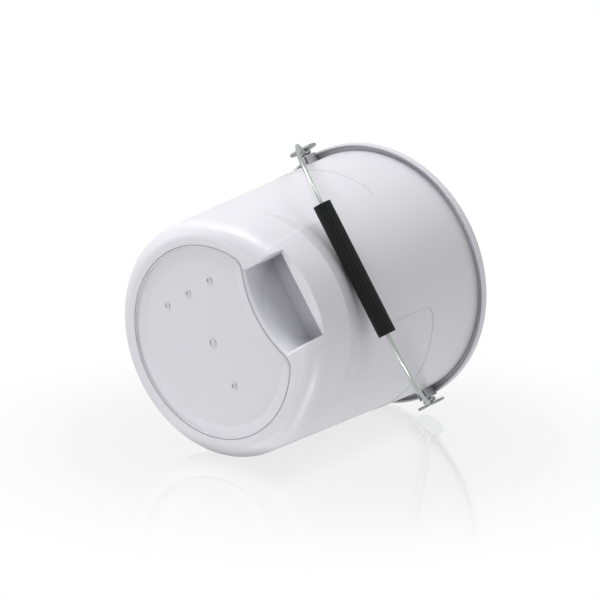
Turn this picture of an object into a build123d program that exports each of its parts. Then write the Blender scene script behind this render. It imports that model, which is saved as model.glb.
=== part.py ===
from build123d import *
import os
from math import acos, atan, cos, degrees, radians, sin, tan

# Ten-litre fermenting bucket with a wire bail, in millimetres.
# +Z runs from the base to the mouth and the bail hinges about X.
# The hand pocket is on the -Y side.  The origin is the centre of the foot.

# ---- driving dimensions: tub ----
height = 267.0                  # foot to rim
base_radius = 117.0             # outside of the wall, carried down to the foot
mouth_radius = 132.5            # outside of the wall, at the rim
wall = 2.4
corner_radius = 16.0            # rounding between wall and foot
rim_width = 7.5                 # outside of the wall to outside of the turned-down rim
rim_depth = 6.5
rim_thickness = 2.2
rim_rounding = 0.9
recess_radius = 94.0            # floor recess, at the foot
recess_step = 1.3               # upright edge of the recess
recess_depth = 3.6
recess_slope = 10.5             # width of the slope round the recess
recess_corner = 11.5            # rounding where the recess meets the pocket
recess_margin = 4.7             # between recess and pocket
bead_width = 1.0                # bead round the recess, level with the foot
groove_width = 1.0              # groove that sets the bead off from the foot
groove_depth = 0.6

# ---- driving dimensions: belly and side panels ----
belly_reach = 128.0             # front of the belly at the foot, from the tub's axis
belly_shift = 22.4              # axis of the belly, forward of the tub's axis
belly_top = 52.0
belly_lift = 0.5                # lower edge of the belly, above the foot
belly_taper = 14.5              # degrees, ledge above the belly
ledge_inset = 27.0              # the ledge's cone runs this far in, to end inside the wall
band_angle = 28.4               # degrees, half width of the front band
band_foot_half_width = 49.0     # the band narrows to this across the belly
band_join = 75.0                # where the narrowing starts, above the foot
panel_top = 188.0
panel_corner = 8.0
panel_step = 0.5                # panel, below the band's surface
belly_step = 1.0                # the same, on the belly

# ---- driving dimensions: hand pocket ----
pocket_half_width = 43.0
pocket_arc_radius = 100.0       # plan radius of the curved inner wall
pocket_inner = 71.0             # curved inner wall, from the tub's axis
pocket_lean_start = 12.5        # where the inner wall starts to lean forward
pocket_back = 79.5              # top of the leaning wall, from the tub's axis
pocket_ceiling = 41.0
pocket_rise = 3.0               # ceiling, higher at the grip bar
pocket_flare = 2.0              # width of the chamfer round the pocket at the foot
flare_angle = 45.0              # degrees, the chamfer's slope
bar_back = 116.5                # back of the grip bar, from the tub's axis
bar_bottom = 16.0

# ---- driving dimensions: ears and pivot pins ----
hinge_drop = 12.0               # hinge axis, below the rim
ear_width = 12.0
ear_drop = 7.0                  # underside of the ear, below the hinge axis
ear_reach = 1.8                 # outer face, beyond the rim
ear_top_gap = 3.0               # top of the ear, below the rim
slot_width = 2.4                # moulding slots under the ear
slot_depth = 3.2
slot_offset = 3.3
slot_end_wall = 1.6
gusset_width = 2.4
gusset_drop = 10.0
gusset_depth = 5.0
disc_radius = 15.0
disc_thickness = 2.6
disc_rounding = 0.8
pin_radius = 3.15
pin_seat = 8.6                  # length of the pin inside the ear

# ---- driving dimensions: bail and grip ----
wire_radius = 2.0
side_gap = 0.8                  # eye to ear, and eye to disc
eye_clearance = 0.06            # eye bore round the pin
bail_drop = 221.0               # hinge axis to grip axis
bail_bend = 98.0                # first bend, below the hinge axis
bail_bend_radius = 220.0
bail_shoulder = 31.6            # leg's plane to the corner before rounding, along X
bail_corner_radius = 54.0
rest_gap = 0.6                  # hanging grip to ledge
grip_length = 136.0
grip_radius = 8.8
grip_clearance = 0.08           # grip bore round the wire
flute_count = 14
flute_radius = 1.05
flute_depth = 0.85

# ---- driving dimensions: marks moulded on the floor ----
mark_height = 0.7
mark_line = 0.9
mark_radius = 3.2
gate_radius = 4.2
mark_offset = 52.5              # row of three marks, from the tub's axis
mark_spacing = 32.0
side_mark_offset = 46.0

rim_radius = mouth_radius + rim_width
ear_height = height - hinge_drop
ear_face = rim_radius + ear_reach
draft = (mouth_radius - base_radius) / height
draft_angle = atan(draft)
ledge_slope = tan(radians(belly_taper))
floor_top = recess_depth + wall
eye_radius = pin_radius + eye_clearance + wire_radius
eye_x = ear_face + side_gap + wire_radius
disc_face = eye_x + wire_radius + side_gap
bail_corner_x = eye_x - bail_shoulder
belly_top_reach = belly_reach + draft * belly_top
overshoot = 1.0                 # how far cutting shapes pass the faces they cut


def wall_radius(z):
    """Outside radius of the plain wall at a height."""
    return base_radius + draft * z


def bail_rest_angle():
    """Angle below level at which the grip meets the ledge or the wall."""
    standoff = grip_radius + rest_gap
    taper = radians(belly_taper)
    reach = standoff + belly_top_reach * cos(taper) - (ear_height - belly_top) * sin(taper)
    on_ledge = acos(reach / bail_drop) - taper
    reach = standoff + base_radius * cos(draft_angle) + ear_height * sin(draft_angle)
    on_wall = acos(reach / bail_drop) + draft_angle
    return min(on_ledge, on_wall)


def turned(points, rounded=None, radius=0.0):
    """Solid turned about Z from (radius, height) points, one corner rounded."""
    face = make_face(Polyline(*points, close=True))
    if rounded is not None:
        corner = face.vertices().sort_by_distance((*rounded, 0))[0]
        face = fillet(corner, radius)
    return revolve(Plane.YZ * face, Axis.Z, 360)


def cone_body(grow, low, top):
    """The plain body between two heights, its wall moved out by grow."""
    foot = (wall_radius(low) + grow, low)
    points = [(0, low), foot, (wall_radius(top) + grow, top), (0, top)]
    return turned(points, foot, corner_radius + grow)


def belly_body(grow, low):
    """The belly and the ledge that tapers in above it, about the belly's axis."""
    low += belly_lift
    foot = (belly_reach - belly_shift + draft * low + grow, low)
    brow = (belly_top_reach - belly_shift + grow, belly_top)
    ledge_top = (brow[0] - ledge_inset, belly_top + ledge_inset / ledge_slope)
    points = [(0, low), foot, brow, ledge_top, (0, ledge_top[1])]
    return Pos(0, -belly_shift, 0) * turned(points, foot, corner_radius + grow)


def pocket_plan(grow):
    """Outline of the hand pocket from below, open to the front."""
    far = belly_reach + corner_radius
    plan = Pos(0, -far / 2) * Rectangle(2 * pocket_half_width, far)
    plan &= Pos(0, -pocket_inner - pocket_arc_radius) * Circle(pocket_arc_radius)
    return offset(plan, grow, kind=Kind.INTERSECTION) if grow else plan


def pocket_body(grow, low):
    """The hand pocket under and behind the grip bar, its walls moved out by grow."""
    lean = (pocket_back - pocket_inner) / (pocket_ceiling - pocket_lean_start)
    lean_foot = pocket_inner - lean * (pocket_lean_start - low)
    far = belly_reach + corner_radius
    side = make_face(Polyline(
        (-lean_foot, low),
        (-pocket_back, pocket_ceiling),
        (-bar_back, pocket_ceiling + pocket_rise),
        (-bar_back, bar_bottom),
        (-far, bar_bottom),
        (-far, low),
        close=True,
    ))
    if grow:
        side = offset(side, grow, kind=Kind.INTERSECTION)
    upright = Pos(0, 0, low - grow) * extrude(pocket_plan(grow), pocket_ceiling * 2)
    across = extrude(Plane.YZ * side, pocket_half_width + 2 * grow + overshoot, both=True)
    return upright & across


def side_panels():
    """Shape that takes the surface down on both sides and round the back."""
    line = cos(radians(band_angle))
    top_corner = (-line * wall_radius(panel_top), panel_top)
    face = make_face(Polyline(
        (-line * wall_radius(-overshoot), -overshoot),
        top_corner,
        (rim_radius, panel_top),
        (rim_radius, -overshoot),
        close=True,
    ))
    corner = face.vertices().sort_by_distance((*top_corner, 0))[0]
    panels = extrude(Plane.YZ * fillet(corner, panel_corner), rim_radius, both=True)
    join = sin(radians(band_angle)) * wall_radius(band_join)
    wedge = make_face(Polyline(
        (band_foot_half_width, -overshoot),
        (join, band_join),
        (rim_radius, band_join),
        (rim_radius, -overshoot),
        close=True,
    ))
    flank = extrude(Plane.XZ * wedge, rim_radius)
    return panels + flank + mirror(flank, Plane.YZ)


def rim_ring():
    """The turned-down rim, with the band of wall that carries it."""
    skirt = rim_radius - rim_thickness
    shoulder = height - rim_thickness
    low = height - 2 * rim_depth
    profile = make_face(Polyline(
        (wall_radius(low) - wall, low),
        (mouth_radius - wall, height),
        (rim_radius, height),
        (rim_radius, height - rim_depth),
        (skirt, height - rim_depth),
        (skirt, shoulder),
        (wall_radius(shoulder), shoulder),
        (wall_radius(low), low),
        close=True,
    ))
    edges = (mouth_radius - wall, rim_radius)
    corners = [profile.vertices().sort_by_distance((r, height, 0))[0] for r in edges]
    return revolve(Plane.YZ * fillet(corners, rim_rounding), Axis.Z, 360)


def ear(side):
    """Moulded ear under the rim, with its slots and the gusset below it."""
    root = wall_radius(ear_height) - wall
    low = ear_height - ear_drop
    top = height - ear_top_gap
    length = ear_face - root
    block = Pos(root + length / 2, 0, (low + top) / 2) * Box(length, ear_width, top - low)
    slot_start = wall_radius(low) + slot_end_wall
    slot_length = ear_face - slot_end_wall - slot_start
    for y in (-slot_offset, slot_offset):
        slot = Box(slot_length, slot_width, 2 * slot_depth)
        block -= Pos(slot_start + slot_length / 2, y, low) * slot
    gusset = make_face(Polyline(
        (root, low),
        (wall_radius(low) + gusset_depth, low),
        (root, low - gusset_drop),
        close=True,
    ))
    block += extrude(Plane.XZ * gusset, gusset_width / 2, both=True)
    return block if side > 0 else mirror(block, Plane.YZ)


def ring_mark(x, y, radius):
    """Plain moulded ring standing out of the floor's underside."""
    ring = Circle(radius) - Circle(radius - mark_line)
    return Pos(x, y, recess_depth - mark_height) * extrude(ring, mark_height + overshoot)


def recess_outline(grow):
    """Outline of the floor recess, bitten by the hand pocket."""
    bite = pocket_arc_radius + recess_margin - grow
    outline = Circle(recess_radius + grow)
    outline -= Pos(0, -pocket_inner - pocket_arc_radius) * Circle(bite)
    return fillet(outline.vertices(), recess_corner + grow)


def floor_recess():
    """Shallow recess in the foot, its edge upright at first and then sloping."""
    outline = recess_outline(0)
    step = Pos(0, 0, -overshoot) * extrude(outline, overshoot + recess_step)
    slope_height = recess_depth - recess_step
    slope_angle = degrees(atan(recess_slope / slope_height))
    return step + extrude(Pos(0, 0, recess_step) * outline, slope_height, taper=slope_angle)


def bead_groove():
    """Groove round the bead that edges the recess."""
    ring = recess_outline(bead_width + groove_width) - recess_outline(bead_width)
    return Pos(0, 0, -overshoot) * extrude(ring, overshoot + groove_depth)


def flare():
    """Chamfer round the mouth of the hand pocket."""
    depth = pocket_flare / tan(radians(flare_angle))
    return extrude(pocket_plan(pocket_flare), depth, taper=flare_angle)


def make_tub():
    body_top = height - rim_depth
    panel_body = belly_body(-belly_step, 0) + cone_body(-panel_step, 0, body_top)
    body = belly_body(0, 0) + cone_body(0, 0, body_top)
    body -= side_panels() - panel_body
    body -= floor_recess() + bead_groove()
    for x, y, radius in (
        (0, 0, gate_radius),
        (-mark_offset, -mark_spacing, mark_radius),
        (-mark_offset, 0, mark_radius),
        (-mark_offset, mark_spacing, mark_radius),
        (side_mark_offset, 0, mark_radius),
    ):
        body += ring_mark(x, y, radius)
    body += rim_ring() + ear(1) + ear(-1)
    cavity = belly_body(-wall, floor_top) + cone_body(-wall, floor_top, height + overshoot)
    body -= cavity - pocket_body(wall, floor_top - wall)
    body -= pocket_body(0, -overshoot)
    body -= flare()
    seat = Cylinder(pin_radius, pin_seat, align=(Align.CENTER, Align.CENTER, Align.MAX))
    for side in (-1, 1):
        body -= Pos(side * ear_face, 0, ear_height) * Rot(0, side * 90, 0) * seat
    return body


def make_pin(side):
    """Steel pivot pin with a wide disc head, along X."""
    disc = Cylinder(disc_radius, disc_thickness, align=(Align.CENTER, Align.CENTER, Align.MIN))
    disc = fillet(disc.edges(), disc_rounding)
    shank_length = pin_seat + disc_face - ear_face
    shank = Cylinder(pin_radius, shank_length, align=(Align.CENTER, Align.CENTER, Align.MAX))
    return Pos(side * disc_face, 0, ear_height) * Rot(0, side * 90, 0) * (disc + shank)


def bail_plane():
    """Plane of the hanging bail: local X along the hinge, local Y down the legs."""
    angle = bail_rest_angle()
    return Plane((0, 0, ear_height), x_dir=(1, 0, 0), z_dir=(0, sin(angle), -cos(angle)))


def make_bail():
    """Wire with a closed eye at each end, a long leg each side and a straight middle."""
    points = [
        (-eye_x, eye_radius),
        (-eye_x, bail_bend),
        (-bail_corner_x, bail_drop),
        (bail_corner_x, bail_drop),
        (eye_x, bail_bend),
        (eye_x, eye_radius),
    ]
    bends = [bail_bend_radius, bail_corner_radius, bail_corner_radius, bail_bend_radius]
    path = FilletPolyline(*points, radius=bends)
    section = Plane((*points[0], 0), z_dir=(0, 1, 0)) * Circle(wire_radius)
    wire = sweep(section, path)
    for x in (-eye_x, eye_x):
        wire += Pos(x, 0, 0) * Rot(0, 90, 0) * Torus(eye_radius, wire_radius)
    return bail_plane() * wire


def make_grip():
    """Fluted handle tube that turns on the wire."""
    section = Circle(grip_radius)
    flute = Pos(grip_radius - flute_depth + flute_radius, 0) * Circle(flute_radius)
    for i in range(flute_count):
        section -= Rot(0, 0, 360 / flute_count * i) * flute
    section -= Circle(wire_radius + grip_clearance)
    tube = extrude(section, grip_length / 2, both=True)
    return bail_plane() * Pos(0, bail_drop, 0) * Rot(0, 90, 0) * tube


os.makedirs("parts", exist_ok=True)
pieces = {
    "tub": make_tub(),
    "bail_wire": make_bail(),
    "bail_grip": make_grip(),
    "left_pivot_pin": make_pin(-1),
    "right_pivot_pin": make_pin(1),
}
for name, piece in pieces.items():
    export_step(piece, f"parts/{name}.step")
print("bail hangs", round(degrees(bail_rest_angle()), 2), "degrees below level")
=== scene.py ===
import bpy
import bmesh
from mathutils import Matrix, Vector

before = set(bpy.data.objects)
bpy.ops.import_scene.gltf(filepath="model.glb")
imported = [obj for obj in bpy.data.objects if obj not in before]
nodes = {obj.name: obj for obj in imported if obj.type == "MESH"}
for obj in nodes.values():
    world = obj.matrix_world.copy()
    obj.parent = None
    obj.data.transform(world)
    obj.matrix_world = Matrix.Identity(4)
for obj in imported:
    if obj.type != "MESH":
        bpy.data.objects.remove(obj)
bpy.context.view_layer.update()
scene = bpy.context.scene
scene.view_settings.view_transform = "Standard"
print("frame loaded:", sorted(nodes))

# metres, in the part's own frame: +Z out of the mouth, the hand pocket on -Y
# the bucket lies on its side on the floor, and the camera looks at its foot

cameraSetup = {
    "place": (0.10632, -1.28, -1.32185),
    "right": (0.44853, -0.65599, 0.60705),
    "up": (-0.89195, -0.3718, 0.25726),
    "lens": 116.67,
    "farthest": 20,
}
cameraRight = Vector(cameraSetup["right"]).normalized()
cameraUp = Vector(cameraSetup["up"]).normalized()
cameraBack = cameraRight.cross(cameraUp).normalized()


def turnedFrame(right, up, back, place):
    matrix = Matrix((right, up, back)).transposed().to_4x4()
    matrix.translation = place
    return matrix


def addCamera():
    data = bpy.data.cameras.new("camera")
    data.lens = cameraSetup["lens"]
    data.clip_end = cameraSetup["farthest"]
    camera = bpy.data.objects.new("camera", data)
    camera.matrix_world = turnedFrame(cameraRight, cameraUp, cameraBack, cameraSetup["place"])
    scene.collection.objects.link(camera)
    scene.camera = camera


studio = {
    "surround": 0.37,                    # light that comes from everywhere
    "mirrored": 0.62,                    # the same, as glossy surfaces mirror it
    "backdrop": 1,                       # the same, as the camera sees it
    "middle": (0, -0.03, 0.13),          # what the lights point at
    "lightSize": 0.7,
}
lights = {                               # offset right, up and towards the camera, watts
    "key": ((-0.7, 1.25, 0.5), 14),
    "right": ((0.5, 1.2, 1.0), 4.5),
    "left": ((-1.6, 0.2, 0.1), 4.5),
    "floorGlow": ((0.5, -1.5, 0.6), 11.5),
    "lowGlow": ((-0.9, -1.4, 0.2), 5),
}
middle = Vector(studio["middle"])


def addWorld():
    world = bpy.data.worlds.new("studio")
    world.use_nodes = True
    tree = world.node_tree
    tree.nodes.clear()
    rays = tree.nodes.new("ShaderNodeLightPath")
    strength = tree.nodes.new("ShaderNodeMix")
    strength.inputs["A"].default_value = studio["surround"]
    strength.inputs["B"].default_value = studio["mirrored"]
    seen = tree.nodes.new("ShaderNodeMix")
    seen.inputs["B"].default_value = studio["backdrop"]
    back = tree.nodes.new("ShaderNodeBackground")
    back.inputs["Color"].default_value = (1, 1, 1, 1)
    out = tree.nodes.new("ShaderNodeOutputWorld")
    tree.links.new(rays.outputs["Is Glossy Ray"], strength.inputs["Factor"])
    tree.links.new(rays.outputs["Is Camera Ray"], seen.inputs["Factor"])
    tree.links.new(strength.outputs["Result"], seen.inputs["A"])
    tree.links.new(seen.outputs["Result"], back.inputs["Strength"])
    tree.links.new(back.outputs[0], out.inputs["Surface"])
    scene.world = world


def addLights():
    for name, (offset, watts) in lights.items():
        data = bpy.data.lights.new(name, "AREA")
        data.shape = "DISK"
        data.size = studio["lightSize"]
        data.energy = watts
        place = middle + cameraRight * offset[0] + cameraUp * offset[1] + cameraBack * offset[2]
        light = bpy.data.objects.new(name, data)
        light.location = place
        light.rotation_euler = (middle - place).to_track_quat("-Z", "Y").to_euler()
        scene.collection.objects.link(light)


floorSetup = {
    "down": (0.859, 0.503, -0.091),      # from the bucket towards the floor
    "drop": 0.1155,                      # floor, from the origin
    "size": 0.5,
    "shine": 0.27,                       # share of the floor that mirrors
    "roughness": 0.03,
    "fadeStart": 0.12,                   # the mirror fades out between these distances
    "fadeEnd": 0.42,
}


def floorMaterial(centre):
    material = bpy.data.materials.new("paleFloor")
    material.use_nodes = True
    tree = material.node_tree
    tree.nodes.clear()
    out = tree.nodes.new("ShaderNodeOutputMaterial")
    clear = tree.nodes.new("ShaderNodeBsdfTransparent")
    gloss = tree.nodes.new("ShaderNodeBsdfGlossy")
    gloss.inputs["Roughness"].default_value = floorSetup["roughness"]
    gloss.inputs["Color"].default_value = (1, 1, 1, 1)
    mix = tree.nodes.new("ShaderNodeMixShader")
    coords = tree.nodes.new("ShaderNodeTexCoord")
    reach = tree.nodes.new("ShaderNodeVectorMath")
    reach.operation = "DISTANCE"
    reach.inputs[1].default_value = centre
    fade = tree.nodes.new("ShaderNodeMapRange")
    fade.interpolation_type = "SMOOTHSTEP"
    fade.inputs["From Min"].default_value = floorSetup["fadeStart"]
    fade.inputs["From Max"].default_value = floorSetup["fadeEnd"]
    fade.inputs["To Min"].default_value = floorSetup["shine"]
    fade.inputs["To Max"].default_value = 0
    side = tree.nodes.new("ShaderNodeNewGeometry")
    front = tree.nodes.new("ShaderNodeMath")  # 1 from above, 0 from below
    front.operation = "SUBTRACT"
    front.inputs[0].default_value = 1
    amount = tree.nodes.new("ShaderNodeMath")
    amount.operation = "MULTIPLY"
    tree.links.new(coords.outputs["Object"], reach.inputs[0])
    tree.links.new(reach.outputs["Value"], fade.inputs["Value"])
    tree.links.new(side.outputs["Backfacing"], front.inputs[1])
    tree.links.new(fade.outputs["Result"], amount.inputs[0])
    tree.links.new(front.outputs[0], amount.inputs[1])
    tree.links.new(amount.outputs[0], mix.inputs["Fac"])
    tree.links.new(clear.outputs[0], mix.inputs[1])
    tree.links.new(gloss.outputs[0], mix.inputs[2])
    tree.links.new(mix.outputs[0], out.inputs["Surface"])
    return material


def addFloor():
    down = Vector(floorSetup["down"]).normalized()
    centre = middle - down * middle.dot(down) + down * floorSetup["drop"]
    turn = (-down).to_track_quat("Z", "Y").to_matrix().to_4x4()
    turn.translation = centre
    bm = bmesh.new()
    bmesh.ops.create_grid(bm, x_segments=2, y_segments=2, size=floorSetup["size"])
    bmesh.ops.transform(bm, matrix=turn, verts=bm.verts)
    mesh = bpy.data.meshes.new("floor")
    bm.to_mesh(mesh)
    bm.free()
    mesh.materials.append(floorMaterial(centre))
    floor = bpy.data.objects.new("floor", mesh)
    scene.collection.objects.link(floor)


noiseRange = (0.3, 0.7)                  # nearly all of a noise texture lies between these
edgeSamples = 6


def newFinish(name, values, metallic=0.0):
    material = bpy.data.materials.new(name)
    material.use_nodes = True
    shader = material.node_tree.nodes["Principled BSDF"]
    shader.inputs["Base Color"].default_value = (*values["colour"], 1)
    shader.inputs["Roughness"].default_value = values["roughness"]
    shader.inputs["Metallic"].default_value = metallic
    return material, material.node_tree, shader


def objectNoise(tree, scale, detail):
    coords = tree.nodes.new("ShaderNodeTexCoord")
    noise = tree.nodes.new("ShaderNodeTexNoise")
    noise.inputs["Scale"].default_value = scale
    noise.inputs["Detail"].default_value = detail
    tree.links.new(coords.outputs["Object"], noise.inputs["Vector"])
    return noise.outputs["Fac"]


def spread(tree, value, source, target):
    node = tree.nodes.new("ShaderNodeMapRange")
    node.inputs["From Min"].default_value = source[0]
    node.inputs["From Max"].default_value = source[1]
    node.inputs["To Min"].default_value = target[0]
    node.inputs["To Max"].default_value = target[1]
    tree.links.new(value, node.inputs["Value"])
    return node.outputs["Result"]


def mixColours(tree, value, first, second):
    node = tree.nodes.new("ShaderNodeMix")
    node.data_type = "RGBA"
    node.inputs["A"].default_value = (*first, 1)
    node.inputs["B"].default_value = (*second, 1)
    tree.links.new(value, node.inputs["Factor"])
    return node.outputs["Result"]


def roughen(tree, value, strength, distance, under):
    node = tree.nodes.new("ShaderNodeBump")
    node.inputs["Strength"].default_value = strength
    node.inputs["Distance"].default_value = distance
    tree.links.new(value, node.inputs["Height"])
    tree.links.new(under, node.inputs["Normal"])
    return node.outputs["Normal"]


def softEdges(tree, radius):
    node = tree.nodes.new("ShaderNodeBevel")
    node.samples = edgeSamples
    node.inputs["Radius"].default_value = radius
    return node.outputs["Normal"]


def wornColour(tree, values):
    patches = objectNoise(tree, *values["patches"])
    return mixColours(tree, patches, values["colour"], values["second"])


def wornRoughness(tree, values):
    return spread(tree, objectNoise(tree, *values["wear"]), noiseRange, values["roughRange"])


# "patches", "wear", "waves" and "grain" are noises: scale, detail

tubFinish = {
    "colour": (0.8, 0.795, 0.845),
    "second": (0.775, 0.77, 0.818),
    "patches": (14, 3),
    "roughness": 0.36,
    "roughRange": (0.33, 0.42),
    "wear": (60, 3),
    "refraction": 1.49,
    "depth": 0.12,                       # share of light that goes in and comes out again
    "depthColour": (1.0, 0.95, 0.9),
    "depthReach": 0.006,
    "edge": 0.0016,                      # rounding of the edges
    "waves": (22, 1),
    "waveHeight": (0.25, 0.0004),        # strength, distance
    "grain": (1400, 2),
    "grainHeight": (0.06, 0.0001),
    # painted shade in crevices, from ambient occlusion: its reach, strength, range and samples
    "creviceSize": 0.026,
    "paintedCreviceShade": (0.5, 1),            # painted shade: share of the colour left in a crevice, and in the open
    "creviceRange": (0.1, 0.85),
    "creviceSamples": 8,
}


# painted shade: darkens the base colour where ambient occlusion finds other surfaces near, so the
# pocket, recess, rim underside and ledge read darker
def paintCreviceShade(tree, colour):
    openness = tree.nodes.new("ShaderNodeAmbientOcclusion")
    openness.samples = tubFinish["creviceSamples"]
    openness.inputs["Distance"].default_value = tubFinish["creviceSize"]
    shade = tree.nodes.new("ShaderNodeVectorMath")
    shade.operation = "SCALE"
    level = spread(tree, openness.outputs["AO"], tubFinish["creviceRange"], tubFinish["paintedCreviceShade"])
    tree.links.new(colour, shade.inputs["Vector"])
    tree.links.new(level, shade.inputs["Scale"])
    return shade.outputs["Vector"]


def makeTubFinish():
    material, tree, shader = newFinish("whitePolypropylene", tubFinish)
    shader.inputs["IOR"].default_value = tubFinish["refraction"]
    shader.inputs["Subsurface Weight"].default_value = tubFinish["depth"]
    shader.inputs["Subsurface Radius"].default_value = tubFinish["depthColour"]
    shader.inputs["Subsurface Scale"].default_value = tubFinish["depthReach"]
    # the base colour carries painted shade in the crevices
    tree.links.new(paintCreviceShade(tree, wornColour(tree, tubFinish)), shader.inputs["Base Color"])
    tree.links.new(wornRoughness(tree, tubFinish), shader.inputs["Roughness"])
    edges = softEdges(tree, tubFinish["edge"])
    waves = roughen(tree, objectNoise(tree, *tubFinish["waves"]), *tubFinish["waveHeight"], edges)
    grain = roughen(tree, objectNoise(tree, *tubFinish["grain"]), *tubFinish["grainHeight"], waves)
    tree.links.new(grain, shader.inputs["Normal"])
    return material


wireFinish = {
    "colour": (0.64, 0.67, 0.65),
    "second": (0.52, 0.55, 0.54),
    "patches": (160, 4),
    "roughness": 0.33,
    "roughRange": (0.3, 0.37),
    "wear": (90, 2),
}
pinFinish = {
    "colour": (0.5, 0.53, 0.52),
    "second": (0.36, 0.39, 0.38),
    "patches": (160, 4),
    "roughness": 0.34,
    "roughRange": (0.31, 0.38),
    "wear": (90, 2),
}


def makeZincFinish(name, values):
    material, tree, shader = newFinish(name, values, 1)
    tree.links.new(wornColour(tree, values), shader.inputs["Base Color"])
    tree.links.new(wornRoughness(tree, values), shader.inputs["Roughness"])
    return material


gripFinish = {
    "colour": (0.005, 0.005, 0.0055),
    "second": (0.01, 0.01, 0.0105),
    "patches": (90, 3),
    "roughness": 0.36,
    "roughRange": (0.3, 0.44),
    "wear": (300, 3),
    "shine": 0.28,
    "edge": 0.0003,
    "grain": (1800, 2),
    "grainHeight": (0.15, 0.0001),
}


def makeGripFinish():
    material, tree, shader = newFinish("blackPlastic", gripFinish)
    shader.inputs["Specular IOR Level"].default_value = gripFinish["shine"]
    tree.links.new(wornColour(tree, gripFinish), shader.inputs["Base Color"])
    tree.links.new(wornRoughness(tree, gripFinish), shader.inputs["Roughness"])
    edges = softEdges(tree, gripFinish["edge"])
    grain = roughen(tree, objectNoise(tree, *gripFinish["grain"]), *gripFinish["grainHeight"], edges)
    tree.links.new(grain, shader.inputs["Normal"])
    return material


def finishNode(name, material):
    for slot in nodes[name].material_slots:
        slot.material = material


addCamera()
print("camera placed")
addWorld()
addLights()
print("lights placed:", len(lights))
addFloor()
print("floor laid")

finishNode("tub", makeTubFinish())
print("tub finished")
finishNode("bail_wire", makeZincFinish("brightZinc", wireFinish))
print("bail wire finished")
dullZinc = makeZincFinish("dullZinc", pinFinish)
for pin in ("left_pivot_pin", "right_pivot_pin"):
    finishNode(pin, dullZinc)
print("pivot pins finished")
finishNode("bail_grip", makeGripFinish())
print("grip finished")
